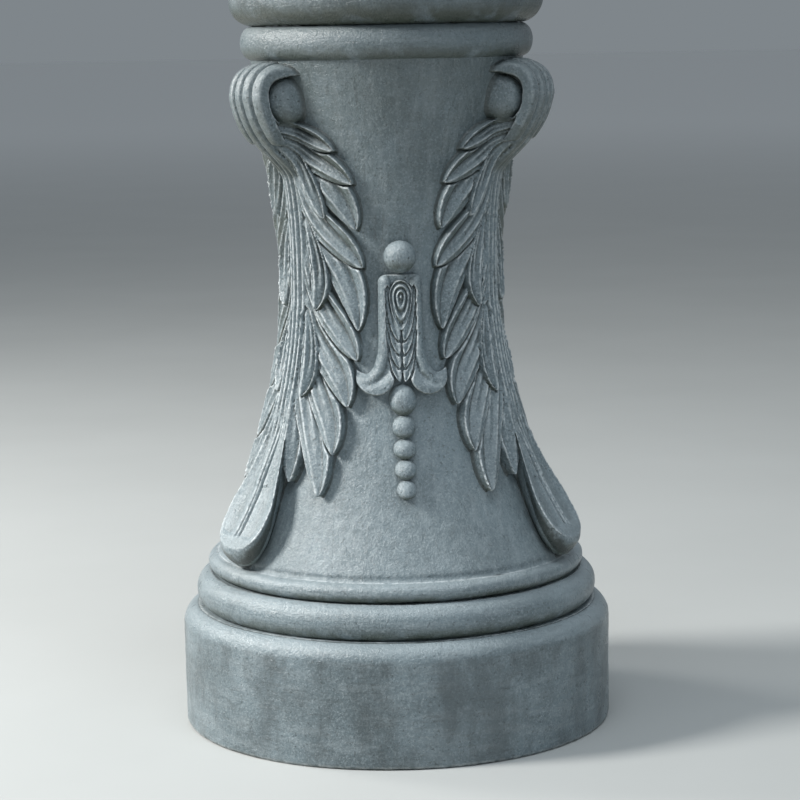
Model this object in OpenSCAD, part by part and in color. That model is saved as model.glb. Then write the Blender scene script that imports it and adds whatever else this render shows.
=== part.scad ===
// Garden sundial: a cast-stone baluster pedestal with acanthus scrolls, a lift-off head and a bronze dial.
// Millimetres, +Z up, origin at the centre of the base, front of the object towards -Y, north end of the dial +Y.

/* [Pedestal] */
// Diameter of the plinth drum
drum_d = 330; // [324:1:350]
// Height of the plinth drum
drum_h = 92; // [80:1:110]
// Height of the shaft between the base bead and the neck ring
shaft_h = 375.5; // [374:0.5:380]
// Radius of the shaft at its waist
waist_r = 78; // [76:0.5:80]
// Diameter of the core hole through the castings
core_d = 70; // [50:1:80]

/* [Scrolls and drops] */
// Width of the volute at the top of each scroll
console_w = 44; // [38:1:48]
// Thickness of the carved leaves over the shaft
leaf_t = 7; // [5:0.5:9]
// Radius of the volute at the top of each scroll
volute_r = 23.5; // [22:0.5:24]
// Thickness of the plaques over the shaft
plaque_t = 9; // [6:0.5:10]

/* [Head] */
// Diameter of the dial table
table_d = 280; // [270:1:300]
// Radial running clearance of the locating tube in the neck ring
tube_clearance = 0.05; // [0.02:0.01:0.1]

/* [Dial] */
// Diameter of the dial plate
dial_d = 228; // [220:1:232]
// Latitude that the hour lines and the gnomon are laid out for
latitude = 40; // [30:1:50]
// Radial running clearance of the pivot stud in its bush
stud_clearance = 0.05; // [0.02:0.01:0.1]

/* [Hidden] */
SIDES = [1, 2, 3];
$fn = 96;

// Heights of the joints between the castings, from the ground up
torus_h = 25.5;
bead_h = 14.5;
ring_h = 25;
z_torus = drum_h;
z_bead = z_torus + torus_h;
z_shaft = z_bead + bead_h;
z_neck = z_shaft + shaft_h;
z_head = z_neck + ring_h;
cap_torus_h = 37;
cap_neck_h = 32;
table_h = 32;
z_cap_neck = z_head + cap_torus_h;
z_table = z_cap_neck + cap_neck_h;
z_top = z_table + table_h;

// Radii of the mouldings
drum_r = drum_d / 2;
shoulder_r = 14;
torus_r = drum_r - 10.5;
bead_r = drum_r - 20;
foot_r = drum_r - 27;
ring_r = 110.5;
cap_torus_r = 118.5;
core_r = core_d / 2;

// The baluster shaft: a waist, a wide concave foot below it and a gentler flare above it
waist_z = z_shaft + 218;
function shaft_r(z) = z < waist_z
    ? waist_r + (foot_r - waist_r) * pow((waist_z - z) / (waist_z - z_shaft), 2.2)
    : waist_r + 25 * pow((z - waist_z) / (z_neck - waist_z), 1.5);
shaft_bands = 18;
function shaft_side(extra) = [
    for (i = [0:shaft_bands]) let (z = z_shaft + shaft_h * i / shaft_bands) [shaft_r(z) + extra, z]
];

// Points of an arc, and of an arc of an ellipse, from angle a to angle b
function arc(cx, cz, rx, rz, a, b, n = 12) = [
    for (i = [0:n]) let (t = a + (b - a) * i / n) [cx + rx * cos(t), cz + rz * sin(t)]
];
// Points of a cubic curve from p0 to p3
function curve(p0, p1, p2, p3, n = 8) = [
    for (i = [0:n]) let (t = i / n, u = 1 - t)
        u * u * u * p0 + 3 * u * u * t * p1 + 3 * u * t * t * p2 + t * t * t * p3
];

// A solid turned about the vertical axis from its outline
module turned(outline) {
    rotate_extrude() polygon(outline);
}

// ---- Pedestal castings ----

module plinth_drum() {
    color("slategray") turned(concat(
        [[core_r, 0], [drum_r - 2, 0], [drum_r, 2]],
        arc(drum_r - shoulder_r, drum_h - shoulder_r, shoulder_r, shoulder_r, 0, 90),
        [[core_r, drum_h]]
    ));
}

module base_torus() {
    color("slategray") turned(concat(
        [[core_r, z_torus]],
        arc(torus_r - 12, z_torus + torus_h / 2, 12, torus_h / 2, -90, 90, 16),
        [[core_r, z_bead]]
    ));
}

module base_bead() {
    color("slategray") turned(concat(
        [[core_r, z_bead]],
        arc(bead_r - 8, z_bead + bead_h / 2, 8, bead_h / 2, -90, 90, 12),
        [[core_r, z_shaft]]
    ));
}

module shaft() {
    color("slategray") turned(concat([[core_r, z_shaft]], shaft_side(0), [[core_r, z_neck]]));
}

module neck_ring() {
    color("slategray") turned(concat(
        [[core_r, z_neck]],
        arc(ring_r - 9, z_neck + ring_h / 2, 9, ring_h / 2, -90, 90, 14),
        [[core_r, z_head]]
    ));
}

// The solid inside the shaft's outer face, which the ornaments are fitted to
module shaft_core() {
    turned(concat([[0, z_shaft]], shaft_side(0), [[0, z_neck]]));
}

// ---- Acanthus scrolls ----

volute_x = 107;
volute_z = z_neck - volute_r - 0.5;
eye_x = volute_x - 7;
eye_z = volute_z - 5;
eye_r = 14.5;
groove_w = 4;
tongue_r = 27;
tongue_x = 124;
tip_x = tongue_x + tongue_r;
tip_z = z_shaft + 17;

// The console from the side: the spine clings to the shaft at the waist, runs out to the tongue's tip below
// and leans out to the volute above
console_outline = concat(
    [[60, z_shaft + 1]],
    curve([132, z_shaft + 1], [143, z_shaft + 2], [tip_x, z_shaft + 9], [tip_x, tip_z], 6),
    curve([tip_x, tip_z], [115, z_shaft + 63], [87, z_shaft + 138], [87, z_shaft + 213], 12),
    curve([87, z_shaft + 213], [87, z_shaft + 253], [89, z_shaft + 276], [92.5, z_shaft + 289], 4),
    curve([92.5, z_shaft + 289], [97, volute_z - 49], [125, volute_z - 37], [volute_x + volute_r - 0.5, volute_z - 4]),
    [[volute_x, volute_z], [60, volute_z]]
);

// Half widths of the console at heights over the shaft's foot: the tongue, the stem, and the volute's throat
CONSOLE = [
    [1, 12], [8, 21], [20, 26], [36, tongue_r], [50, 26], [60, 22], [75, 18], [104, 11], [120, 10],
    [282, 10], [297, 12], [310, 17], [325, console_w / 2 - 1], [335, console_w / 2], [shaft_h, console_w / 2]
];
function mirrored(half) = concat(
    [for (p = half) [p[1], z_shaft + p[0]]],
    [for (i = [len(half) - 1:-1:0]) [-half[i][1], z_shaft + half[i][0]]]
);

// The bed that the leaves spring from, as half widths in the same way
LEAF_BED = [
    [88, 10], [92, 26], [120, 36], [170, 42], [255, 44], [275, 42], [290, 36], [302, 26], [312, 12]
];

// Leaf lobes down one flank: tip's turn from the spine in degrees, its height over the shaft's foot,
// length, width, and lean in degrees
LOBES = [
    [28.5, 310, 40, 12, 71],
    [38, 286, 44, 15, 57],
    [38.5, 252, 50, 20, 29],
    [40.5, 224, 48, 18, 43],
    [38.5, 178, 58, 21, 20],
    [38, 156, 46, 17, 40],
    [34.5, 121, 52, 19, 34],
    [29.5, 88, 50, 17, 28],
    [26, 58, 62, 18, 26],
    [11.5, 66, 54, 14, 10]
];

// A pointed oval with its tip at [0, 0] and its root straight above it
module lobe(length, width) {
    bow = (length * length / 4 + width * width / 4) / width;
    intersection() {
        translate([bow - width / 2, length / 2]) circle(r = bow);
        translate([width / 2 - bow, length / 2]) circle(r = bow);
    }
}

// The flat outline of the leaves, seen along the console's own radius
module leaf_outline() {
    for (side = [-1, 1])
        for (l = LOBES)
            let (z = z_shaft + l[1])
                translate([side * (shaft_r(z) + leaf_t) * sin(l[0]), z])
                    rotate(side * l[4])
                        lobe(l[2], l[3]);
    polygon(mirrored(LEAF_BED));
}

// A flat outline of (across, height), pushed out along the console's own radius
module facing_out() {
    rotate([90, 0, 90]) linear_extrude(height = 160) children();
}

// The leaves lie as a thin layer over the shaft
module leaf_layer() {
    intersection() {
        turned(concat([[0, z_shaft]], shaft_side(leaf_t), [[0, z_neck]]));
        facing_out() leaf_outline();
    }
}

// The console with its volute and its round-ended tongue: the volute's axis runs across it
module console() {
    intersection() {
        union() {
            translate([0, tongue_r, 0])
                rotate([90, 0, 0]) linear_extrude(height = 2 * tongue_r) polygon(console_outline);
            translate([volute_x, console_w / 2, volute_z]) rotate([90, 0, 0]) cylinder(r = volute_r, h = console_w);
        }
        facing_out() polygon(mirrored(CONSOLE));
        translate([0, 0, z_shaft]) linear_extrude(height = shaft_h) union() {
            circle(r = tongue_x);
            translate([tongue_x, 0]) circle(r = tongue_r);
            translate([0, -tongue_r]) square([tongue_x, 2 * tongue_r]);
        }
    }
}

// The groove that winds round the eye on both flanks
module volute_grooves() {
    for (side = [-1, 1])
        translate([eye_x, side * console_w / 2, eye_z])
            rotate([90, 0, 0])
                difference() {
                    cylinder(r = eye_r + groove_w, h = 6, center = true);
                    cylinder(r = eye_r, h = 7, center = true);
                }
}

module acanthus_scroll(turn) {
    color("lightslategray") difference() {
        rotate(turn) difference() {
            union() {
                console();
                leaf_layer();
            }
            volute_grooves();
        }
        shaft_core();
    }
}

// ---- Plaques, crown balls and bead drops ----

plaque_w = 32;
plaque_top = z_shaft + 219;
fluke_z = z_shaft + 147;
ball_r = 12;
ball_z = z_shaft + 232;

// Beads from the top down: radius and height over the shaft's foot
BEADS = [[11, 127], [8.6, 107.5], [8, 91.5], [7.7, 77], [7, 63]];

module plaque_outline() {
    corner = 6;
    for (side = [-1, 1]) {
        translate([side * (plaque_w / 2 - corner), plaque_top - corner]) circle(r = corner);
        translate([side * 17.5, fluke_z]) difference() {
            circle(r = 14);
            circle(r = 5);
            translate([-20, 0]) square([40, 20]);
        }
        translate([side * 27, fluke_z]) circle(r = 4.5);
    }
    translate([-10, plaque_top - 12]) square([20, 12]);
    polygon([
        [-plaque_w / 2, plaque_top - corner], [-15, fluke_z + 20], [-11, fluke_z - 2], [0, fluke_z - 7],
        [11, fluke_z - 2], [15, fluke_z + 20], [plaque_w / 2, plaque_top - corner]
    ]);
}

module plaque(turn) {
    color("lightslategray") difference() {
        intersection() {
            turned(concat([[0, z_shaft]], shaft_side(plaque_t), [[0, z_neck]]));
            rotate(turn) facing_out() plaque_outline();
        }
        shaft_core();
    }
}

module crown_ball(turn) {
    color("lightslategray") difference() {
        rotate(turn) translate([shaft_r(ball_z) + 4, 0, ball_z]) rotate([0, 90, 0]) sphere(r = ball_r);
        shaft_core();
    }
}

module bead_drop(turn) {
    color("lightslategray") difference() {
        rotate(turn)
            for (b = BEADS)
                translate([shaft_r(z_shaft + b[1]) + 1.5, 0, z_shaft + b[1]]) rotate(90) sphere(r = b[0]);
        shaft_core();
    }
}

// ---- Head ----

tube_wall = 5;
tube_r = core_r - tube_clearance;
tube_drop = 28;
tube_rise = 30;
recess = 3;
z_seat = z_top - recess;
seat_r = dial_d / 2 + 1;
table_r = table_d / 2;
table_skin = 19;
step = 3;
edge_r = (table_h - 2 * step) / 2;
stud_r = 6;
bush_r = 10;

module cap_torus() {
    color("slategray") turned(concat(
        [[core_r - tube_clearance, z_head]],
        arc(cap_torus_r - cap_torus_h / 2, z_head + cap_torus_h / 2, cap_torus_h / 2, cap_torus_h / 2, -90, 90, 18),
        [[core_r - tube_clearance, z_cap_neck]]
    ));
}

module cap_neck() {
    lip_r = table_r - edge_r - 2;
    color("slategray") turned(concat(
        [[core_r, z_cap_neck], [102, z_cap_neck], [102, z_cap_neck + step]],
        arc(lip_r, z_cap_neck + step, lip_r - 100, cap_neck_h - 2 * step, 180, 90),
        [[lip_r, z_table], [core_r, z_table]]
    ));
}

module dial_table() {
    color("slategray") difference() {
        turned(concat(
            [[core_r, z_table], [table_r - edge_r, z_table], [table_r - edge_r, z_table + step]],
            arc(table_r - edge_r, z_table + table_h / 2, edge_r, edge_r, -90, 90, 16),
            [[table_r - edge_r, z_top], [seat_r, z_top], [seat_r, z_seat], [0, z_seat]],
            [[0, z_seat - table_skin], [core_r, z_seat - table_skin]]
        ));
        translate([0, 0, z_seat - table_skin - 1]) cylinder(r = bush_r, h = table_skin + 2);
    }
}

module locating_tube() {
    color("dimgray") translate([0, 0, z_head - tube_drop]) difference() {
        cylinder(r = tube_r, h = tube_drop + tube_rise);
        translate([0, 0, -1]) cylinder(r = tube_r - tube_wall, h = tube_drop + tube_rise + 2);
    }
}

bush_flange = 3;
z_bush = z_seat - table_skin - bush_flange;

module pivot_bush() {
    color("goldenrod") difference() {
        union() {
            translate([0, 0, z_bush]) cylinder(r = 15, h = bush_flange);
            translate([0, 0, z_bush]) cylinder(r = bush_r, h = bush_flange + table_skin);
        }
        translate([0, 0, z_bush - 1]) cylinder(r = stud_r + stud_clearance, h = bush_flange + table_skin + 2);
    }
}

// ---- Dial ----

plate_t = 5;
z_plate = z_seat + plate_t;
dial_r = dial_d / 2;
rim_w = 4;
chapter_out = dial_r - rim_w - 1;
chapter_in = chapter_out - 24;
chapter_t = 1.5;
z_chapter = z_plate + chapter_t;
root_y = -40;
foot_t = 3;
foot_low = -50;
foot_high = 65;
blade_t = 5;
screw_r = 2;
SCREWS = [[-9, -40], [9, -40], [-9, 56], [9, 56]];

module at_screws() {
    for (p = SCREWS)
        translate([p[0], p[1], 0]) children();
}

module dial_plate() {
    color("darkgoldenrod") difference() {
        turned([
            [stud_r, z_seat], [dial_r, z_seat], [dial_r, z_plate + 1], [dial_r - 1, z_plate + 2],
            [dial_r - rim_w + 1, z_plate + 2], [dial_r - rim_w, z_plate], [stud_r, z_plate]
        ]);
        at_screws() translate([0, 0, z_seat - 1]) cylinder(r = screw_r, h = plate_t + 2);
    }
}

module chapter_ring() {
    color("goldenrod") turned([
        [chapter_in, z_plate], [chapter_out, z_plate], [chapter_out, z_chapter], [chapter_in, z_chapter]
    ]);
}

// A horizontal dial's hour angle, in degrees from the noon line, and the way along it to a circle of radius r
function hour_angle(h) = atan2(sin(latitude) * sin(15 * h), cos(15 * h));
function reach(a, r) = let (d = r * r - pow(root_y * sin(a), 2)) d < 0 ? 10 : -root_y * cos(a) + sqrt(d);
HOURS = [for (h = [-7:7]) h];

module bar(length, width, height) {
    translate([-width / 2, 0, 0]) cube([width, length, height]);
}

numeral_h = 12;
stroke_w = 1.8;
relief = 1;

// One stroke letter of a Roman numeral, standing on the line y = 0 and centred on x = 0
module letter(c) {
    if (c == "I") bar(numeral_h, stroke_w, relief);
    if (c == "V") for (s = [-1, 1]) rotate(s * -17) bar(numeral_h + 0.5, stroke_w, relief);
    if (c == "X") for (s = [-1, 1])
        translate([s * -3, 0, 0]) rotate(s * -27) bar(numeral_h + 1.3, stroke_w, relief);
}

// Room that each letter takes along the line
function room(c) = c == "I" ? 3.6 : 8.4;
function place(word, i) = i == 0 ? 0 : place(word, i - 1) + (room(word[i - 1]) + room(word[i])) / 2;
ROMAN = ["V", "VI", "VII", "VIII", "IX", "X", "XI", "XII", "I", "II", "III", "IIII", "V", "VI", "VII"];

module numeral(word) {
    last = len(word) - 1;
    for (i = [0:last])
        translate([place(word, i) - place(word, last) / 2, 0, 0]) letter(word[i]);
}

module hour_numerals() {
    color("saddlebrown")
        for (i = [0:len(HOURS) - 1])
            let (a = hour_angle(HOURS[i]), d = reach(a, (chapter_in + chapter_out) / 2))
                rotate(-atan2(d * sin(a), root_y + d * cos(a)))
                    translate([0, (chapter_in + chapter_out - numeral_h) / 2, z_chapter])
                        numeral(ROMAN[i]);
}

module hour_lines() {
    color("saddlebrown")
        for (h = HOURS) {
            a = hour_angle(h);
            start = h == 0 ? foot_high - root_y + 2 : max(20, reach(a, 38));
            side = h == 0 ? [-1, 1] : [0];
            for (s = side)
                translate([s * 4, root_y, z_plate])
                    rotate(-a)
                        translate([0, start, 0])
                            bar(reach(a, chapter_in) - start - 1, 1.2, 0.8);
        }
}

// Plain rays round the gnomon's foot, with none on the noon line
module sun_rays() {
    color("goldenrod")
        for (i = [1, 2, 3, 4, 5, 7, 8, 9, 10, 11])
            translate([0, 0, z_plate])
                rotate(30 * i)
                    linear_extrude(height = 0.8) polygon([[-3.5, 22], [3.5, 22], [0, 36]]);
}

module gnomon_outline() {
    tip_y = 62;
    tip_z = (tip_y - root_y) * tan(latitude);
    difference() {
        polygon(concat(
            [[root_y, 0], [tip_y, tip_z]],
            curve([tip_y, tip_z], [46, tip_z * 0.62], [30, tip_z * 0.5], [44, tip_z * 0.24]),
            curve([44, tip_z * 0.24], [48, tip_z * 0.14], [50, 6], [58, 0])
        ));
        translate([22, tip_z * 0.27]) circle(r = 14);
        translate([-3, tip_z * 0.16]) circle(r = 6.5);
    }
}

module gnomon() {
    color("darkgoldenrod") difference() {
        union() {
            translate([-blade_t / 2, 0, z_plate + foot_t])
                rotate([90, 0, 90]) linear_extrude(height = blade_t) gnomon_outline();
            translate([0, 0, z_plate]) linear_extrude(height = foot_t) union() {
                translate([-7, foot_low]) square([14, foot_high - foot_low]);
                at_screws() circle(r = 6);
            }
        }
        at_screws() translate([0, 0, z_plate - 1]) cylinder(r = screw_r, h = foot_t + 2);
    }
}

module gnomon_screws() {
    head_h = 2.4;
    color("goldenrod") at_screws() {
        translate([0, 0, z_seat + 0.5]) cylinder(r = screw_r, h = plate_t + foot_t);
        translate([0, 0, z_plate + foot_t]) cylinder(r1 = 3.8, r2 = 2.6, h = head_h);
    }
}

washer_t = 2;
nut_h = 10;
z_nut = z_bush - washer_t - nut_h;

module pivot_stud() {
    color("goldenrod") translate([0, 0, z_nut - 4]) cylinder(r = stud_r, h = z_plate - z_nut + 4);
}

module thrust_washer() {
    color("silver") translate([0, 0, z_bush - washer_t]) difference() {
        cylinder(r = 13, h = washer_t);
        translate([0, 0, -1]) cylinder(r = stud_r, h = washer_t + 2);
    }
}

module wing_nut() {
    color("goldenrod") translate([0, 0, z_nut]) difference() {
        union() {
            cylinder(r = 10, h = nut_h);
            for (side = [-1, 1])
                translate([side * 15, 2, 1]) rotate([90, 0, 0]) cylinder(r = 8, h = 4);
        }
        translate([0, 0, -1]) cylinder(r = stud_r, h = nut_h + 2);
        translate([-30, -10, nut_h]) cube([60, 20, 10]);
    }
}

// ---- All the pieces ----

// Thirds of a turn: one drop faces the front, and the scrolls stand between the drops
function drop_turn(k) = -90 + 120 * (k - 1);
function scroll_turn(k) = -30 + 120 * (k - 1);

plinth_drum();
base_torus();
base_bead();
shaft();
neck_ring();
for (k = SIDES) {
    acanthus_scroll(scroll_turn(k));
    plaque(drop_turn(k));
    crown_ball(drop_turn(k));
    bead_drop(drop_turn(k));
}
cap_torus();
cap_neck();
dial_table();
locating_tube();
pivot_bush();
dial_plate();
chapter_ring();
hour_numerals();
hour_lines();
sun_rays();
gnomon();
gnomon_screws();
pivot_stud();
thrust_washer();
wing_nut();
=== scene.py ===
"""Garden sundial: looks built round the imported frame. Lengths inside the builders are millimetres."""

import math

import bpy
import numpy as np
import openvdb
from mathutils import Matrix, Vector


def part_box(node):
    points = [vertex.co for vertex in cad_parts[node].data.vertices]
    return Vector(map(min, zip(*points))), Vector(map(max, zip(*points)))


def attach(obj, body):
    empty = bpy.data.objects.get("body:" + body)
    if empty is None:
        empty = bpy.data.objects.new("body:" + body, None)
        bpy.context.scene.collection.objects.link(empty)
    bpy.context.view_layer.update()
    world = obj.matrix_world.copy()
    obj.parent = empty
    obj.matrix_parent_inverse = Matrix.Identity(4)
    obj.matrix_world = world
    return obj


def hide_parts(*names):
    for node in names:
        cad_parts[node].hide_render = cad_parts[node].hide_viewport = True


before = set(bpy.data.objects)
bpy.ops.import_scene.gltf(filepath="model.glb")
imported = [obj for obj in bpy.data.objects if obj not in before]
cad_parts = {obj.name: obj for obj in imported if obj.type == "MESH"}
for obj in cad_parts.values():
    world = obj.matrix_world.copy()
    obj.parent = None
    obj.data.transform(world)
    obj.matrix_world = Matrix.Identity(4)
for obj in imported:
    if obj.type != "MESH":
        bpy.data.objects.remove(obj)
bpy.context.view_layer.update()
MM = 0.001

# ---- Driving dimensions, read from the frame where it has them ----


def low(node):
    """Lowest corner of a CAD node, in mm."""
    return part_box(node)[0] / MM


def high(node):
    """Highest corner of a CAD node, in mm."""
    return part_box(node)[1] / MM


DRUM_R = high("plinth_drum").x
Z_TORUS = high("plinth_drum").z
Z_BEAD = high("base_torus").z
Z_SHAFT = low("shaft").z
Z_NECK = high("shaft").z
Z_HEAD = high("neck_ring").z
Z_CAP_NECK = high("cap_torus").z
Z_TABLE = low("dial_table").z
Z_TOP = high("dial_table").z
TORUS_R = high("base_torus").x
BEAD_R = high("base_bead").x
FOOT_R = high("shaft").x
RING_R = high("neck_ring").x
CAP_R = high("cap_torus").x
TABLE_R = high("dial_table").x
CORE_R = 35.0
WAIST_R = 78.0
WAIST_Z = Z_SHAFT + 218
FOOT_CURVE = 2.2
NECK_FLARE = 25.0
NECK_CURVE = 1.5
JOINT = 0.4  # half the open joint that shows between two castings


def shaft_r(z):
    """Radius of the baluster at height z."""
    below = np.clip((WAIST_Z - z) / (WAIST_Z - Z_SHAFT), 0, 1.05)
    above = np.clip((z - WAIST_Z) / (Z_NECK - WAIST_Z), 0, 1.05)
    return WAIST_R + (FOOT_R - WAIST_R) * below**FOOT_CURVE + NECK_FLARE * above**NECK_CURVE


# ---- Shaping ----

SHARP = math.radians(50)
HOLD = 1.2  # distance from a corner of the points that keep wear there
BAND = 3  # width of the sampled layer round a carved surface, in steps


def smooth_min(a, b, k):
    """The lower of two fields, with a fillet of about k where they cross."""
    t = np.clip(0.5 + 0.5 * (b - a) / k, 0, 1)
    return b + (a - b) * t - k * t * (1 - t)


def smooth_max(a, b, k):
    """The higher of two fields, with a round of about k where they cross."""
    return -smooth_min(-a, -b, k)


def ease(t):
    """0 to 1 with level ends."""
    t = np.clip(t, 0, 1)
    return t * t * (3 - 2 * t)


def arc(cr, cz, rr, rz, a, b, n=24):
    """Points (radius, height) of an elliptical arc from angle a to b in degrees."""
    t = np.radians(np.linspace(a, b, n))
    return [(cr + rr * math.cos(v), cz + rz * math.sin(v)) for v in t]


def spaced(points, step):
    """The same outline with a point at least every step."""
    out = []
    for (r0, z0), (r1, z1) in zip(points, points[1:]):
        n = max(1, round(math.hypot(r1 - r0, z1 - z0) / step))
        out += [(r0 + (r1 - r0) * i / n, z0 + (z1 - z0) * i / n) for i in range(n)]
    return out + [points[-1]]


def held(outline):
    """The closed outline, with a point added near both ends of each long edge to keep wear at corners."""
    out = []
    for (r0, z0), (r1, z1) in zip(outline, outline[1:] + outline[:1]):
        out.append((r0, z0))
        length = math.hypot(r1 - r0, z1 - z0)
        if length > 4 * HOLD:
            near = HOLD / length
            out += [(r0 + (r1 - r0) * t, z0 + (z1 - z0) * t) for t in (near, 1 - near)]
    return out


def new_piece(name, verts_mm, faces, body, nodes=()):
    """A mesh piece from points in mm, riding on a body and standing for CAD nodes."""
    mesh = bpy.data.meshes.new(name)
    mesh.from_pydata((np.asarray(verts_mm) * MM).tolist(), [], faces)
    mesh.validate()
    mesh.shade_smooth()
    piece = bpy.data.objects.new(name, mesh)
    bpy.context.scene.collection.objects.link(piece)
    return settle(piece, body, nodes)


def settle(piece, body, nodes=()):
    """Puts the piece on its body, and in place of CAD nodes."""
    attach(piece, body)
    if nodes:
        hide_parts(*nodes)
    return piece


def lathe(name, shown, bore, segments, body, nodes=()):
    """A closed solid turned about Z: its shown outline from bottom to top, then its hidden bore."""
    outline = np.array(held(shown + bore))
    n = len(outline)
    turn = np.linspace(0, 2 * math.pi, segments, endpoint=False)
    r, z = outline[:, 0, None], outline[:, 1, None]
    verts = np.stack([r * np.cos(turn), r * np.sin(turn), z + 0 * turn], axis=2).reshape(-1, 3)
    faces = []
    for i in range(n):
        a, b = i * segments, (i + 1) % n * segments
        for j in range(segments):
            k = (j + 1) % segments
            faces.append((a + j, a + k, b + k, b + j))
    piece = new_piece(name, verts, faces, body, nodes)
    piece.data.set_sharp_from_angle(angle=SHARP)
    return piece


def without_crumbs(points, faces, smallest=200):
    """The mesh without its loose bits of fewer points than smallest."""
    links = np.array([link for face in faces for link in zip(face, face[1:])])
    label = np.arange(len(points))
    changed = True
    while changed:
        lowest = label.copy()
        np.minimum.at(lowest, links[:, 0], label[links[:, 1]])
        np.minimum.at(lowest, links[:, 1], label[links[:, 0]])
        lowest = lowest[lowest]
        changed = (lowest != label).any()
        label = lowest
    kept = np.bincount(label)[label] >= smallest
    index = np.cumsum(kept) - 1
    return points[kept], [tuple(int(index[v]) for v in face) for face in faces if kept[face[0]]]


def sculpt(lows, highs, step, field, wrap_r=None):
    """Points and faces of the solid where field is below 0, mirrored about the middle of its second axis.

    The axes are x, y and z, or with wrap_r the radius, the way round at that radius, and z.
    """
    x = np.arange(lows[0], highs[0], step)[:, None, None]
    y = np.arange(0, highs[1], step)[None, :, None]
    z = np.arange(lows[2], highs[2], step)[None, None, :]
    half = np.clip(field(x, y, z) + 0 * (x + y + z), -BAND * step, BAND * step)
    both = np.concatenate([half[:, :0:-1, :], half], axis=1).astype(np.float32)
    grid = openvdb.FloatGrid(BAND * step)
    grid.copyFromArray(both)
    grid.transform = openvdb.createLinearTransform(voxelSize=step)
    points, triangles, quads = grid.convertToPolygons(isovalue=0.0, adaptivity=0.0)
    points = np.asarray(points, float) + [lows[0], -(y.size - 1) * step, lows[2]]
    if wrap_r:
        r, turn = points[:, 0].copy(), points[:, 1] / wrap_r
        points[:, 0], points[:, 1] = r * np.cos(turn), r * np.sin(turn)
    faces = [tuple(int(v) for v in f) for group in (triangles, quads) for f in group]
    return without_crumbs(points, faces)


def undercut_shade(points):
    """How much painted shade each point in mm gets: walls close to the shaft and the belly under the tongue,
    where shade falls.
    """
    x, y, z = np.asarray(points).T
    wall = 1 - ease((np.hypot(x, y) - shaft_r(z) - 0.8) / 3.2)
    under = ease((spine(z) - x - 1.5) / 4) * ease((FOOT_Z + 80 - z) / 25) * (x > shaft_r(z) + 9)
    return np.maximum(0.8 * wall, under)


def turned_copies(name, points, faces, angles, body, node):
    """The same carved mesh at several angles round the shaft."""
    pieces = []
    mesh = None
    for k, angle in enumerate(angles, 1):
        if mesh is None:
            piece = new_piece(f"{name}_{k}", points, faces, body)
            mesh = piece.data
            # stores the painted shade of the undercuts on the mesh
            mesh.attributes.new("undercut_shade", "FLOAT", "POINT").data.foreach_set("value", undercut_shade(points))
        else:
            piece = bpy.data.objects.new(f"{name}_{k}", mesh)
            bpy.context.scene.collection.objects.link(piece)
            settle(piece, body)
        piece.rotation_euler.z = math.radians(angle)
        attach(piece, body)
        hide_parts(f"{node}_{k}")
        pieces.append(piece)
    return pieces


def rough(piece, amount, size):
    """Uneven cast surface, in mm: hills of the given size."""
    texture = bpy.data.textures.new(f"{piece.name}_{size}", "CLOUDS")
    texture.noise_scale = size * MM
    texture.noise_depth = 2
    modifier = piece.modifiers.new(f"uneven_{size}", "DISPLACE")
    modifier.texture = texture
    modifier.texture_coords = "LOCAL"
    modifier.strength = amount * MM
    modifier.mid_level = 0.5


# ---- Acanthus scroll: fields in mm, r the radius, s the way round the shaft, x outwards, y across, z up ----

FOOT_Z = Z_SHAFT
TURN_R = 90.0
ROLL_X, ROLL_Z, ROLL_R = 107.0, Z_NECK - 24.3, 23.5
EYE_X, EYE_Z, EYE_R = 99.5, Z_NECK - 29.5, 16.5
EYE_FACE = 25.5
TONGUE_HALF = 27.5
TONGUE_X = 134.0
TIP_X = 151.0
LEAF_T = 7.0
ROOT = 2.5  # how far the carvings reach into the shaft


def bezier(points, n=48):
    """Points of a curve with three or four control points."""
    t = np.linspace(0, 1, n)[:, None]
    p = [np.array(q, float) for q in points]
    while len(p) > 1:
        p = [a * (1 - t) + b * t for a, b in zip(p, p[1:])]
    return p[0]


def spine_line():
    """Heights and radii of the scroll's spine, from the tongue's tip up to the volute."""
    tongue = bezier([(TIP_X, 17), (115, 63), (87, 138), (87, 213)])
    stem = bezier([(87, 213), (87, 253), (89, 276), (92.5, 289)])
    throat = bezier([(92.5, 289), (97, 302), (125, 314), (ROLL_X + ROLL_R, 348)])
    line = np.concatenate([tongue, stem, throat])
    return line[:, 1] + FOOT_Z, line[:, 0]


SPINE_HEIGHTS, SPINE_RADII = spine_line()
TONGUE_END = 47  # last point of the tongue's part of that line


def spine(z):
    """Radius of the scroll's spine at height z."""
    return np.interp(z, SPINE_HEIGHTS, SPINE_RADII)


def over_foot(z, heights, values):
    """A value that varies with height, given at heights over the shaft's foot."""
    return np.interp(z - FOOT_Z, heights, values)


def along_leaf(s, z, path):
    """Distance across a curved leaf, positive on its upper side, and the way along it, 1 at the tip."""
    line = bezier(path, 25) + [0, FOOT_Z]
    best = np.full(np.broadcast(s, z).shape, 1e9)
    across = np.zeros_like(best)
    way = np.zeros_like(best)
    for i, (a, b) in enumerate(zip(line, line[1:])):
        d = b - a
        u = np.clip(((s - a[0]) * d[0] + (z - a[1]) * d[1]) / (d @ d), 0, 1)
        ds, dz = s - a[0] - u * d[0], z - a[1] - u * d[1]
        dist = np.hypot(ds, dz)
        closer = dist < best
        side = np.where(d[0] * dz - d[1] * ds > 0, 1.0, -1.0)
        across = np.where(closer, dist * side, across)
        way = np.where(closer, (i + u) / (len(line) - 1), way)
        best = np.minimum(best, dist)
    return across, way


def leaf_bed(s, z):
    """Height over the shaft at which the leaves lie: they slope down from the stem's crest."""
    flat = over_foot(z, [100, 160], [7.0, 5.0])
    crest = spine(z) - shaft_r(z) - 1.5
    return flat + (crest - flat) * (1 - ease((np.abs(s) - 5) / 17))


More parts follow.
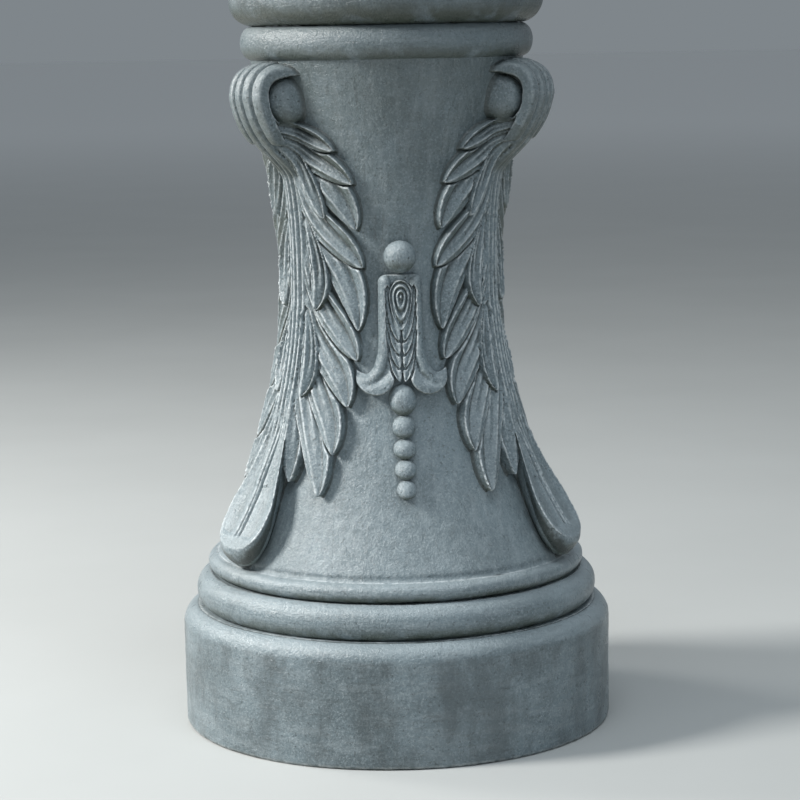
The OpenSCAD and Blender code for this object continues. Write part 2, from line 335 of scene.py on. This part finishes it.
# Section across a lobe: place from its lower edge to its upper edge, and height over its bed
LEAF_SECTION = (
    [-1.3, -1.0, -0.45, 0.3, 0.88, 1.0, 1.3],
    [-1.6, -0.6, 0.9, -2.5, 1.3, 1.6, 1.6],
)


def blade(h, s, z, path, half, bed, lift=2.5, relief=1.45, cut=4.5):
    """One acanthus lobe and the crease round it: a raised upper rim, a valley and a broad lower facet."""
    across, way = along_leaf(s, z, path)
    width = half * (0.32 * ease((way + 0.04) / 0.2) + 0.68 * ease(way / 0.66))
    width = width * (1 - np.clip((way - 0.68) / 0.32, 0, 1) ** 2.1) ** 0.75 + 0.35
    inner = width * (1 + 0.35 * ease((0.8 - way) / 0.5))
    v = across / np.where(across > 0, width, inner)
    section = np.interp(v, *LEAF_SECTION) * (0.25 + 0.75 * ease(way / 0.5)) * (1 - 0.6 * way**8)
    veins = 0.65 * np.cos(v * 4 * math.pi) * ease((0.9 - way) / 0.4) * ease((way - 0.1) / 0.25)
    top = bed + lift * (way - 0.4) - 3 * ease((0.14 - way) / 0.14) + relief * (section + veins)
    edge = np.abs(across) - np.where(across > 0, width, inner)
    gap = 1.7 * ease((way - 0.06) / 0.1) + 1.0 * ease((way - 0.4) / 0.3) - 1.0
    deep = cut * (0.35 + 0.65 * ease((way - 0.3) / 0.4))
    crease = np.maximum(edge - gap, top - deep - h)
    return smooth_max((h - top) * 0.9, edge, 0.5), crease


# Lobes of one flank from the lowest up: the path as (way round, height over the shaft's foot), and half width
LOBES = [
    ([(8, 160), (12, 125), (15, 100), (22, 66)], 8.0),
    ([(9, 175), (13, 128), (36, 104), (53, 58)], 11.5),
    ([(9, 190), (14, 140), (44, 128), (54, 88)], 10.5),
    ([(9, 215), (12, 165), (44, 162), (57, 122)], 11.5),
    ([(9, 245), (12, 205), (42, 184), (59, 156)], 10.0),
    ([(9, 290), (14, 250), (52, 236), (58, 178)], 12.5),
    ([(8, 300), (15, 262), (40, 250), (61, 224)], 10.5),
    ([(7, 322), (20, 302), (48, 290), (59, 252)], 12.5),
    ([(5, 328), (16, 310), (38, 304), (61, 286)], 9.5),
    ([(4, 332), (14, 326), (34, 320), (50, 310)], 6.5),
]
# Small curled leaves on top, beside the stem
CURLS = [
    ([(8, 198), (18, 172), (22, 148), (16, 128)], 7.0),
    ([(9, 266), (24, 240), (29, 212), (21, 192)], 8.0),
    ([(8, 318), (20, 304), (24, 282), (34, 260)], 7.5),
]


def add_leaf(field, h, s, z, bed, path, half, **options):
    """Cuts a leaf's crease into the field and then unites the leaf with it, working only near it."""
    part = slice(*np.searchsorted(z.ravel(), [FOOT_Z + path[-1][1] - 8, FOOT_Z + path[0][1] + 8]))
    solid, crease = blade(h[:, :, part], s[:, :, part], z[:, :, part], path, half, bed[:, :, part], **options)
    field[:, :, part] = np.minimum(np.maximum(field[:, :, part], -crease), solid)


def groove(y, place, wide, deep):
    """A rounded groove along the line at |y| = place."""
    return deep * np.exp(-(((np.abs(y) - place) / wide) ** 2))


def rib_cuts(y, z):
    """Depth of the grooves between the ribs, from the tongue up the stem and over the volute."""
    up = z - FOOT_Z
    double = groove(y, 2.2, 1.2, 3.8) * (1 - ease((up - 95) / 30))
    stem = groove(y, 0, 1.4, 3.2) + groove(y, 5.2, 1.3, 3.0) + groove(y, 10, 1.2, 2.4)
    stem = stem * ease((up - 70) / 45) * (1 - ease((up - 285) / 30))
    top = groove(y, 0, 1.7, 4.2) + groove(y, 11.2, 1.8, 4.2) + 3.2 * (y / 22) ** 2
    return double + stem + top * ease((up - 285) / 30)


def neck_half(z):
    """Widest the scroll gets where the volute narrows into the stem."""
    return over_foot(z, [298, 310, 323, 335, 348], [12, 17, 21, 25, 40])


def stem_field(x, y, z):
    """The stem and the throat under the volute, with uneven ribs down them."""
    half = over_foot(z, [60, 90, 120, 170, 220, 270, 298, 348], [10, 14, 13, 15, 14, 12, 13, 40])
    crown = y**2 / 40 * (1 - ease((z - FOOT_Z - 285) / 30))
    face = x - spine(z) + rib_cuts(y, z) + crown
    widest = np.minimum(np.minimum(half, neck_half(z)), flank_half(x, z, spine(z) - x))
    stem = smooth_max(face, np.abs(y) - widest, 2.5)
    return smooth_max(smooth_max(stem, z - ROLL_Z, 1.0), FOOT_Z + 62 - z, 1.0)


def flank_half(x, z, depth):
    """Half width of the volute: a band along its outer side, and a hollow for the eye inside the band."""
    d = np.hypot(x - EYE_X, z - EYE_Z)
    band = ease((14 - depth) / 3) * ease((d - EYE_R - 1.0) / 1.6)
    slant = 0.32 * np.clip(117 - x, 0, 40)
    return 11.5 + (10 + slant) * band + 0.6 * slant * (1 - band)


def volute_field(x, y, z):
    """The rolled top: bold ribs over it, and a domed eye in a crescent groove on each flank."""
    outside = np.hypot(x - ROLL_X, z - ROLL_Z) - ROLL_R
    flank = np.minimum(flank_half(x, z, -outside), neck_half(z))
    roll = smooth_max(outside + rib_cuts(y, z + 40), np.abs(y) - flank, 3.0)
    d = np.hypot(x - EYE_X, z - EYE_Z)
    dome = EYE_FACE + 0.15 * (EYE_X - x)
    eye = np.sqrt((d / EYE_R) ** 2.3 + ((np.abs(y) - dome + 9) / 9) ** 2) - 1
    return np.minimum(roll, eye * 9)


def tongue_field(x, y, z):
    """The tongue that sweeps out over the base: a blade with a double groove, on a hull-shaped belly."""
    reached = [87, 95, 101, 107, 112, 119, 124, 129, TONGUE_X]
    half = np.interp(x, reached, [9, 10, 11, 13, 16, 20.5, 24, 27, TONGUE_HALF])
    reach = np.clip((x - TONGUE_X) / (TIP_X - TONGUE_X), 0, 1)
    half = half * (1 - reach**2.6) ** 0.5
    top_z = np.interp(x, SPINE_RADII[TONGUE_END::-1], SPINE_HEIGHTS[TONGUE_END::-1])
    depth = np.interp(x, [100, 115, 130, 138, 143, 147, TIP_X], [60, 47, 39, 33, 25, 15, 4])
    down = np.clip((top_z - z) / depth, 0, 1)
    hull = (half - 1.5 * ease(down / 0.12)) * np.sqrt(1 - down**3)
    fade = ease((TIP_X - 5 - x) / 6)
    v = np.abs(y) / np.maximum(half, 1)
    dish = 2.4 * np.clip(1 - ((v - 0.52) / 0.42) ** 2, 0, 1) * ease((x - 98) / 15)
    face = (x - spine(z)) * 0.85 + (rib_cuts(y, z) + dish) * fade
    side = (np.abs(y) - hull) * 0.9
    belly = (top_z - depth - z) * 0.8
    body = smooth_max(smooth_max(side, belly, 4.0), face, 0.5)
    return np.maximum(body, np.maximum(86 - x, z - FOOT_Z - 190))


def scroll_field(r, turn, z):
    """The whole scroll, on a grid that is wrapped round the shaft: turn is the way round at radius TURN_R."""
    x, y = r * np.cos(turn / TURN_R), r * np.sin(turn / TURN_R)
    h = r - shaft_r(z)
    s = turn / TURN_R * (shaft_r(z) + LEAF_T)
    bed = leaf_bed(s, z)
    field = np.full(np.broadcast(r, turn, z).shape, 50.0)
    levels = [82, 90, 105, 120, 170, 220, 255, 275, 300, 312]
    wide = over_foot(z, levels, [2, 26, 33, 36, 40, 40, 40, 38, 28, 8])
    backing = smooth_max(h - bed + 4.5, s - wide, 2.0)
    field = np.minimum(field, smooth_max(backing, np.abs(z - FOOT_Z - 199) - 115, 2.0))
    for path, half in LOBES:
        add_leaf(field, h, s, z, bed, path, half)
    field = smooth_min(field, stem_field(x, y, z), 1.0)
    for path, half in CURLS:
        add_leaf(field, h, s, z, bed, path, half, lift=5.0, relief=1.7)
    field = smooth_min(field, tongue_field(x, y, z), 1.0)
    field = smooth_min(field, volute_field(x, y, z), 1.0)
    # A fillet of 4 mm where the carving meets the shaft, no further than 6 mm from the carving
    joined = smooth_min(field, h + 0.6, 4.0)
    field = smooth_max(joined, field - 6.0, 0.5)
    field = np.maximum(field, -h - ROOT)
    return np.maximum(field, z - Z_NECK + 0.3)


# ---- Plaque, ball and beads ----

PLAQUE_TOP = Z_SHAFT + 219
FLUKE_Z = Z_SHAFT + 145
# Side border and fluke: way round, height over the shaft's foot
BORDER = [(11.5, 214), (12.2, 190), (12.2, 172), (13.5, 160), (17, 149), (23, 141.5), (29, 141)]
BORDER_R = 4.2
HUSK_TIPS = (141, 151, 161, 171)
DROP_Z = Z_SHAFT + 203
DROP_HALF, DROP_UP, DROP_DOWN = 8.5, 12, 25


def band_distance(y, z):
    """Distance to the line down the plaque's side border and out along the fluke."""
    line = np.array(BORDER) + [0, Z_SHAFT]
    best = np.full(np.broadcast(y, z).shape, 1e9)
    for a, b in zip(line, line[1:]):
        d = b - a
        u = np.clip(((y - a[0]) * d[0] + (z - a[1]) * d[1]) / (d @ d), 0, 1)
        best = np.minimum(best, np.hypot(y - a[0] - u * d[0], z - a[1] - u * d[1]))
    return best


def plaque_field(x, y, z):
    """The plaque: a bordered panel with upturned flukes, husk leaves and a ringed teardrop."""
    h = np.hypot(x, y) - shaft_r(z)
    corner = np.hypot(np.clip(np.abs(y) - 9, 0, None), np.clip(z - PLAQUE_TOP + 7, 0, None)) - 7
    foot = Z_SHAFT + 146 + 0.6 * np.abs(y) - z
    panel = smooth_max(smooth_max(h - 4.5, corner, 1.0), foot, 1.0)
    border = np.hypot(band_distance(y, z), (h - 3.5) * 0.8) - BORDER_R
    fluke = np.hypot(y - 20, z - FLUKE_Z) - 14
    scoop = 12.5 - np.hypot(y - 24.5, z - FLUKE_Z - 13.5)
    lip = 4.0 + 6.0 * ease(-scoop / 11)
    cup = smooth_max(smooth_max(h - lip, fluke, 2.0), scoop, 0.8)
    field = smooth_min(smooth_min(panel, border, 1.5), cup, 2.0)
    for tip_z in HUSK_TIPS:
        path = [(10.5, tip_z + 44), (8.4, tip_z + 27), (5.0, tip_z + 11), (1.9, tip_z)]
        husk, crease = blade(h, y + 0 * x, z, path, 3.0, 6.2, lift=2.4, relief=0.4, cut=2.0)
        field = np.minimum(np.maximum(field, -crease), husk)
    dz = z - DROP_Z
    drop = np.hypot(y / DROP_HALF, np.where(dz > 0, dz / DROP_UP, dz / DROP_DOWN))
    drop = drop + 0.25 * np.abs(y) / DROP_HALF * np.clip(-dz / DROP_DOWN, 0, 1)
    rings = 8.0 + 1.2 * np.cos(drop * 6 * math.pi) - 1.2 * drop
    field = np.minimum(field, smooth_max(h - rings, (drop - 1) * 8, 0.8))
    return np.maximum(field, -h - ROOT)


# Beads below the plaque: half width, half height, height over the shaft's foot
BEADS = [
    (10.2, 11.5, 127.0),
    (8.7, 8.6, 107.5),
    (8.5, 7.4, 91.7),
    (8.1, 7.2, 77.2),
    (7.3, 7.0, 63.2),
]
BALL_R = 12.0
BALL_Z = Z_SHAFT + 232
SUNK = 4.5  # how far the ball's centre lies outside the waist


def beads_field(x, y, z):
    """Five beads in a string, half sunk in the shaft."""
    h = np.hypot(x, y) - shaft_r(z)
    field = np.full(np.broadcast(x, y, z).shape, 50.0)
    for wide, tall, up in BEADS:
        out = (h - 1.5) / (wide * 0.92)
        d = np.sqrt((y / wide) ** 2 + ((z - Z_SHAFT - up) / tall) ** 2 + out**2)
        field = np.minimum(field, (d - 1) * tall)
    return np.maximum(field, -h - ROOT)


def ball_field(x, y, z):
    """The ball over a plaque."""
    h = np.hypot(x, y) - shaft_r(z)
    d = np.sqrt((x - WAIST_R - SUNK) ** 2 + y**2 + (z - BALL_Z) ** 2)
    return np.maximum(d - BALL_R, -h - ROOT)


# ---- Materials ----

# Paint of the stone, with painted light and shade among its colours, linear RGB
PAINT_DARK = (0.128, 0.166, 0.182, 1)
PAINT_LIGHT = (0.186, 0.236, 0.260, 1)
STROKE_PALE = (0.30, 0.345, 0.365, 1)
STROKE_DARK = (0.075, 0.092, 0.095, 1)
GRAIN = (0.42, 0.475, 0.50, 1)
PIT = (0.030, 0.040, 0.040, 1)
SKYLIGHT_PALE = (0.40, 0.455, 0.475, 1)
STAIN_AND_SHADE = (0.050, 0.062, 0.064, 1)
WORN = (0.70, 0.74, 0.75, 1)
CREASE_SHADE = (0.016, 0.022, 0.020, 1)
MOSS_AND_SHADE = (0.050, 0.060, 0.036, 1)
SHADE_UNDERCUT = (0.022, 0.029, 0.024, 1)
TOP_SHADE = (0.055, 0.066, 0.064, 1)


class Nodes:
    """Short calls for a material's node tree."""

    def __init__(self, name):
        self.material = bpy.data.materials.new(name)
        self.material.use_nodes = True
        self.tree = self.material.node_tree
        self.shader = self.tree.nodes["Principled BSDF"]

    def add(self, kind, **values):
        """A new node, with its inputs and settings by name."""
        node = self.tree.nodes.new(kind)
        for key, value in values.items():
            if key in node.inputs:
                self.put(node.inputs[key], value)
            else:
                setattr(node, key, value)
        return node

    def put(self, socket, value):
        """Links another node's output to the input, or sets its value."""
        if isinstance(value, bpy.types.NodeSocket):
            self.tree.links.new(value, socket)
        else:
            socket.default_value = value

    def geometry(self, output):
        return self.tree.nodes.new("ShaderNodeNewGeometry").outputs[output]

    def place(self):
        """The point's place in the piece, in metres."""
        return self.tree.nodes.new("ShaderNodeTexCoord").outputs["Object"]

    def mix(self, factor, a, b):
        """Colour a where factor is 0 and b where it is 1."""
        node = self.tree.nodes.new("ShaderNodeMix")
        node.data_type = "RGBA"
        self.put(node.inputs[0], factor)
        self.put(node.inputs[6], a)
        self.put(node.inputs[7], b)
        return node.outputs[2]

    def cover(self, base, colour, where, share):
        """The base with a colour over it, as far as where and share say."""
        return self.mix(self.math("MULTIPLY", where, share), base, colour)

    def math(self, operation, a, b):
        node = self.tree.nodes.new("ShaderNodeMath")
        node.operation = operation
        self.put(node.inputs[0], a)
        self.put(node.inputs[1], b)
        return node.outputs[0]

    def ramp(self, value, low, high):
        """0 below low and 1 above high."""
        node = self.tree.nodes.new("ShaderNodeMapRange")
        node.interpolation_type = "SMOOTHSTEP"
        self.put(node.inputs[0], value)
        node.inputs[1].default_value = low
        node.inputs[2].default_value = high
        return node.outputs[0]

    def noise(self, scale, detail=4.0, stretch=(1, 1, 1), roughness=0.55):
        """Cloudy noise from 0 to 1 at a scale per metre."""
        mapping = self.add("ShaderNodeMapping", Vector=self.place(), Scale=stretch)
        node = self.add("ShaderNodeTexNoise", Vector=mapping.outputs[0], Scale=scale)
        node.inputs["Detail"].default_value = detail
        node.inputs["Roughness"].default_value = roughness
        return node.outputs["Fac"]

    def bump(self, height, distance_mm, strength, under=None):
        """Relief of a given depth, on top of the relief under it."""
        node = self.add("ShaderNodeBump", Height=height, Distance=distance_mm * MM, Strength=strength)
        if under is not None:
            self.put(node.inputs["Normal"], under)
        return node.outputs[0]


def painted_stone(name, streak=(1, 1, 1), carved=False, moss_shade=0.75, shade=0.0):
    """Cast stone painted blue-grey: brushed streaks, pale worn edges, painted shade in hollows, in undercuts
    and towards the top, painted skylight on faces turning up, mossy green with painted shade underneath.

    streak stretches the brush strokes; the last two are the shares of mossy green with painted shade on faces
    turned down, and of stains with painted shade on walls that do not face up.
    """
    n = Nodes(name)
    point = n.geometry("Pointiness")
    up = n.add("ShaderNodeSeparateXYZ", Vector=n.geometry("Normal")).outputs["Z"]
    height = n.add("ShaderNodeSeparateXYZ", Vector=n.place()).outputs["Z"]
    broad = n.ramp(n.noise(14, 3), 0.35, 0.65)
    base = n.mix(broad, PAINT_DARK, PAINT_LIGHT)
    base = n.cover(base, STROKE_PALE, n.ramp(n.noise(30, 5, streak, 0.65), 0.44, 0.68), 0.45)
    base = n.cover(base, STROKE_DARK, n.ramp(n.noise(44, 5, streak, 0.7), 0.46, 0.34), 0.40)
    grain = n.ramp(n.noise(560, 3, (1, 1, 1), 0.75), 0.47, 0.66)
    base = n.cover(base, GRAIN, grain, 0.6 if carved else 0.38)
    base = n.cover(base, PIT, n.ramp(n.noise(430, 3), 0.40, 0.31), 0.8 if carved else 0.5)
    # painted light: faces that turn up are paler, as if lit by the sky
    base = n.cover(base, SKYLIGHT_PALE, n.ramp(up, 0.12, 0.80), 0.42)
    # stains, and painted shade on walls that do not face up
    stains = n.ramp(n.noise(34, 6, (1, 1, 0.45), 0.65), 0.38, 0.66)
    base = n.cover(base, STAIN_AND_SHADE, n.math("MULTIPLY", stains, n.ramp(up, 0.35, 0.02)), shade)
    edge_from, edge_to = (0.506, 0.552) if carved else (0.508, 0.550)
    worn = n.math("MULTIPLY", n.ramp(point, edge_from, edge_to), n.ramp(n.noise(260, 4), 0.34, 0.58))
    base = n.cover(base, WORN, worn, 0.72)
    # painted shade in creases and hollows, where the surface is concave
    hollow = n.ramp(point, 0.495, 0.435 if carved else 0.46)
    base = n.cover(base, CREASE_SHADE, hollow, 0.92 if carved else 0.5)
    # mossy green, and painted shade on faces turned down
    moss_shade_mask = n.math("MULTIPLY", n.ramp(up, 0.02, -0.7), n.ramp(n.noise(60, 4), 0.25, 0.55))
    base = n.cover(base, MOSS_AND_SHADE, moss_shade_mask, moss_shade)
    if carved:
        # painted shade in the undercuts: on walls close to the shaft and on the belly under the tongue
        undercut_shade_mask = n.add("ShaderNodeAttribute", attribute_name="undercut_shade").outputs["Fac"]
        undercut_shade_mask = n.math("MULTIPLY", undercut_shade_mask, n.ramp(n.noise(120, 4), 0.18, 0.45))
        base = n.cover(base, SHADE_UNDERCUT, undercut_shade_mask, 0.9)
    # painted shade: darker towards the top, under the head
    base = n.cover(base, TOP_SHADE, n.ramp(height, 0.28, 0.58), 0.42)
    n.put(n.shader.inputs["Base Color"], base)
    n.put(n.shader.inputs["Roughness"], n.math("ADD", n.math("MULTIPLY", n.noise(90, 3), 0.36), 0.14))
    n.shader.inputs["Specular IOR Level"].default_value = 0.6
    rough_cast = n.bump(n.noise(170, 5, (1, 1, 1), 0.65), 1.3, 0.75)
    brushed = n.bump(n.noise(70, 4, streak), 0.9, 0.4, rough_cast)
    fine = n.bump(n.noise(620, 3, (1, 1, 1), 0.75), 0.6, 1.0, brushed)
    n.put(n.shader.inputs["Normal"], fine)
    return n.material


def metal(name, base, patina, share, roughness):
    """Bronze or brass with patina in patches."""
    n = Nodes(name)
    patch = n.ramp(n.noise(90, 7, (1, 1, 1), 0.7), 0.72 - share * 0.4, 0.86 - share * 0.3)
    darker = tuple(0.72 * c for c in base[:3]) + (1.0,)
    brighter = tuple(min(1, 1.5 * c) for c in base[:3]) + (1.0,)
    tone = n.mix(n.ramp(n.noise(220, 3), 0.4, 0.6), base, darker)
    tone = n.cover(tone, brighter, n.ramp(n.geometry("Pointiness"), 0.51, 0.56), 0.5)
    n.put(n.shader.inputs["Base Color"], n.mix(patch, tone, patina))
    n.put(n.shader.inputs["Metallic"], n.math("SUBTRACT", 1.0, n.math("MULTIPLY", patch, 0.85)))
    n.put(n.shader.inputs["Roughness"], n.math("ADD", n.math("MULTIPLY", patch, 0.35), roughness))
    scratch = n.bump(n.noise(400, 3, (1, 6, 1)), 0.15, 0.15)
    n.put(n.shader.inputs["Normal"], n.bump(n.noise(120, 4), 0.4, 0.3, scratch))
    return n.material


def paint(piece, material):
    """Gives the piece its one material."""
    piece.data.materials.clear()
    piece.data.materials.append(material)


# ---- Pedestal ----

ROUND = painted_stone("stone_mouldings", streak=(1, 1, 9))
SHAFT = painted_stone("stone_shaft", streak=(5, 5, 0.8))
DRUM = painted_stone("stone_drum", streak=(1, 1, 5), moss_shade=0.3, shade=0.55)
HEAD = painted_stone("stone_head", streak=(1, 1, 9), moss_shade=0.95, shade=0.5)
CARVED = painted_stone("stone_carved", streak=(3, 3, 1), carved=True)
DRUM_FALL = 1.5  # how far the drum's top falls towards the base moulding


def casting(name, shown, bore_z, segments, body, material, node):
    """A turned casting with its core hole and an uneven hand-finished surface."""
    bore = [(CORE_R, bore_z[1]), (CORE_R, bore_z[0])]
    piece = lathe(name, shown, bore, segments, body, [node])
    rough(piece, 1.0, 45)
    rough(piece, 0.45, 7)
    paint(piece, material)


def plinth_drum():
    """The plain round plinth with its rounded shoulder."""
    shoulder_r, foot_r, point_gap = 14, 3, 1.6
    shown = [(DRUM_R - foot_r, 0)] + arc(DRUM_R - foot_r, foot_r, foot_r, foot_r, -90, 0, 5)
    shown += spaced([(DRUM_R, foot_r + 0.5), (DRUM_R, Z_TORUS - shoulder_r - 1)], point_gap)
    shown += arc(DRUM_R - shoulder_r, Z_TORUS - shoulder_r, shoulder_r, shoulder_r, 0, 80, 22)
    shown += spaced([(DRUM_R - 11, Z_TORUS), (TORUS_R - 22, Z_TORUS - DRUM_FALL)], point_gap)
    casting("plinth_drum_cast", shown, (0, Z_TORUS - DRUM_FALL), 640, "pedestal", DRUM, "plinth_drum")


def half_round(node, z0, z1, r, inset, segments, body="pedestal", material=ROUND):
    """A half-round moulding between two heights."""
    mid, half = (z0 + z1) / 2, (z1 - z0) / 2
    low_z, high_z, seat = z0 + JOINT, z1 - JOINT, r - inset - 6
    shown = spaced([(seat, low_z), (r - inset, low_z)], 2)
    shown += arc(r - inset, mid, inset, half, -88, 88, max(20, int(half * 2.4)))
    shown += spaced([(r - inset, high_z), (seat, high_z)], 2)
    casting(f"{node}_cast", shown, (low_z, high_z), segments, body, material, node)


def shaft():
    """The baluster, with a fillet at its foot and its top end inside the neck ring."""
    top = Z_NECK + 3
    shown = arc(float(shaft_r(Z_SHAFT + 5)) + 4, Z_SHAFT + 4.6, 4, 5, 250, 180, 8)
    shown += [(float(shaft_r(v)), float(v)) for v in np.linspace(Z_SHAFT + 6, top, 228)]
    casting("shaft_cast", shown, (Z_SHAFT, top), 400, "pedestal", SHAFT, "shaft")


SCROLL_TURNS = [-30, 90, 210]
PLAQUE_TURNS = [-90, 30, 150]
# Node, low corner, high corner, grid step, field, turns, unevenness, radius that the grid is wrapped at
ORNAMENTS = [
    (
        "acanthus_scroll", (72, 0, Z_SHAFT + 0.5), (154, 74, Z_NECK + 3),
        0.9, scroll_field, SCROLL_TURNS, 0.35, TURN_R,
    ),
    (
        "plaque", (70, 0, Z_SHAFT + 120), (104, 40, PLAQUE_TOP + 5),
        0.6, plaque_field, PLAQUE_TURNS, 0.25, None,
    ),
    (
        "bead_drop", (74, 0, Z_SHAFT + 50), (134, 14, Z_SHAFT + 145),
        0.6, beads_field, PLAQUE_TURNS, 0.3, None,
    ),
    (
        "crown_ball", (68, 0, Z_SHAFT + 215), (100, 15, Z_SHAFT + 250),
        0.7, ball_field, PLAQUE_TURNS, 0.35, None,
    ),
]


def ornaments():
    """Carves each kind of ornament once and sets its three copies round the shaft."""
    for node, lows, highs, step, field, turns, amount, wrap_r in ORNAMENTS:
        points, faces = sculpt(lows, highs, step, field, wrap_r)
        for piece in turned_copies(f"{node}_carved", points, faces, turns, "pedestal", node):
            rough(piece, amount, 5)
            paint(piece, CARVED)


plinth_drum()
half_round("base_torus", Z_TORUS - DRUM_FALL, Z_BEAD, TORUS_R, 12, 640)
half_round("base_bead", Z_BEAD, Z_SHAFT, BEAD_R, 8, 600)
shaft()
half_round("neck_ring", Z_NECK, Z_HEAD, RING_R, 9, 460)
ornaments()

# ---- Head ----


def cap_neck():
    """The hollow-curved moulding under the table, with a fillet band at each end."""
    lip, foot_r, waist, band = high("cap_neck").x, 102, 100, 3
    top = Z_TABLE - JOINT
    shown = [(foot_r, Z_CAP_NECK), (foot_r, Z_CAP_NECK + band)]
    shown += arc(lip, Z_CAP_NECK + band, lip - waist, Z_TABLE - Z_CAP_NECK - 2 * band, 180, 90, 26)
    shown += [(lip, top)]
    casting("cap_neck_cast", shown, (Z_CAP_NECK, top), 460, "head", HEAD, "cap_neck")


def dial_table():
    """The round table: a stepped half-round edge, and a shallow seat for the dial over a thick skin."""
    step, skin, bush_r, under = 3, 19, 12, 0.05
    edge = (Z_TOP - Z_TABLE) / 2 - step
    inner = TABLE_R - edge
    seat_r = high("dial_plate").x + 1
    seat_z = low("dial_plate").z
    shown = spaced([(CORE_R, Z_TABLE), (inner, Z_TABLE)], 4) + [(inner, Z_TABLE + step)]
    shown += arc(inner, (Z_TABLE + Z_TOP) / 2, edge, edge, -89, 89, 30)
    shown += [(inner, Z_TOP - step)] + [(inner - 0.6, Z_TOP)]
    shown += [(seat_r + 0.8, Z_TOP), (seat_r, Z_TOP - 0.6), (seat_r, seat_z)]
    shown += spaced([(seat_r - 1, seat_z - under), (bush_r, seat_z - under)], 8)
    hollow = [(bush_r, seat_z - skin), (CORE_R, seat_z - skin)]
    piece = lathe("dial_table_cast", shown, hollow, 520, "head", ["dial_table"])
    rough(piece, 0.5, 45)
    paint(piece, HEAD)


half_round("cap_torus", Z_HEAD, Z_CAP_NECK, CAP_R, 18.5, 480, "head", HEAD)
cap_neck()
dial_table()

# ---- Dial and fittings: CAD nodes with better materials ----

BRONZE = metal("bronze_aged", (0.20, 0.135, 0.07, 1), (0.115, 0.15, 0.11, 1), 0.45, 0.40)
BRIGHT = metal("bronze_rubbed", (0.38, 0.27, 0.13, 1), (0.15, 0.18, 0.12, 1), 0.3, 0.32)
DARK = metal("bronze_dark", (0.06, 0.045, 0.03, 1), (0.05, 0.09, 0.075, 1), 0.4, 0.45)
BRASS = metal("brass_fittings", (0.50, 0.36, 0.16, 1), (0.20, 0.17, 0.10, 1), 0.2, 0.28)
STEEL = metal("zinc_steel", (0.42, 0.43, 0.44, 1), (0.20, 0.17, 0.14, 1), 0.15, 0.35)
FINISH = {
    "dial_plate": BRONZE, "gnomon": BRONZE, "chapter_ring": BRIGHT, "sun_rays": BRIGHT,
    "hour_numerals": DARK, "hour_lines": DARK, "gnomon_screws": BRASS, "pivot_stud": BRASS,
    "wing_nut": BRASS, "pivot_bush": BRASS, "thrust_washer": STEEL, "locating_tube": STEEL,
}
for node, material in FINISH.items():
    paint(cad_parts[node], material)

# ---- Floor, light and camera ----


def area_light(name, place, aim, size, power, colour):
    """A round soft light that looks at a point."""
    data = bpy.data.lights.new(name, "AREA")
    data.shape = "DISK"
    data.size = size
    data.energy = power
    data.color = colour
    lamp = bpy.data.objects.new(name, data)
    bpy.context.scene.collection.objects.link(lamp)
    lamp.location = place
    direction = Vector(aim) - Vector(place)
    lamp.rotation_euler = direction.to_track_quat("-Z", "Y").to_euler()


def floor():
    """A wide pale floor that gets paler far away, where the light falls off."""
    reach = 40
    corners = [(-reach, -reach, 0), (reach, -reach, 0), (reach, reach, 0), (-reach, reach, 0)]
    mesh = bpy.data.meshes.new("floor")
    mesh.from_pydata(corners, [], [(0, 1, 2, 3)])
    plane = bpy.data.objects.new("floor", mesh)
    bpy.context.scene.collection.objects.link(plane)
    n = Nodes("floor_pale")
    away = n.add("ShaderNodeVectorMath", operation="LENGTH")
    n.put(away.inputs[0], n.place())
    pale = n.mix(n.noise(3, 4), (0.46, 0.47, 0.46, 1), (0.52, 0.53, 0.52, 1))
    far = n.ramp(away.outputs["Value"], 1.5, 12)
    n.put(n.shader.inputs["Base Color"], n.mix(far, pale, (0.96, 0.96, 0.96, 1)))
    n.shader.inputs["Roughness"].default_value = 0.9
    plane.data.materials.append(n.material)


def lights():
    """Soft daylight: a low bright side, an overcast sky, a weak front fill and a rim from behind."""
    world = bpy.data.worlds.new("world")
    bpy.context.scene.world = world
    world.use_nodes = True
    background = world.node_tree.nodes["Background"]
    background.inputs[0].default_value = (0.76, 0.85, 0.92, 1)
    background.inputs[1].default_value = 0.28
    warm = (1.0, 0.99, 0.96)
    area_light("key", (-2.1, -0.35, 1.7), (0, 0, 0.3), 0.7, 80, warm)
    area_light("sky", (0.0, -0.9, 2.9), (0, 0, 0.2), 2.0, 34, (0.86, 0.94, 1.0))
    area_light("fill", (1.6, -2.4, 1.2), (0, 0, 0.3), 1.6, 10, (0.78, 0.90, 1.0))
    area_light("rim", (-1.9, 1.1, 1.3), (0, 0, 0.35), 0.7, 22, warm)
    bpy.context.scene.view_settings.view_transform = "Standard"


def camera():
    """The camera, as the object is seen: level with the neck ring and looking a little down."""
    azimuth, distance, height = math.radians(5.0), 1.900, 0.5325
    pitch, roll = math.radians(8.587), math.radians(-1.0)
    aside = 0.0056
    data = bpy.data.cameras.new("camera")
    data.sensor_width = 36
    data.lens = 112.05
    cam = bpy.data.objects.new("camera", data)
    bpy.context.scene.collection.objects.link(cam)
    cam.location = (
        -distance * math.sin(azimuth) + aside * math.cos(azimuth),
        -distance * math.cos(azimuth) - aside * math.sin(azimuth),
        height,
    )
    turn = Matrix.Rotation(-azimuth, 4, "Z") @ Matrix.Rotation(math.pi / 2 - pitch, 4, "X")
    cam.rotation_euler = (turn @ Matrix.Rotation(roll, 4, "Z")).to_euler()
    bpy.context.scene.camera = cam


floor()
lights()
camera()
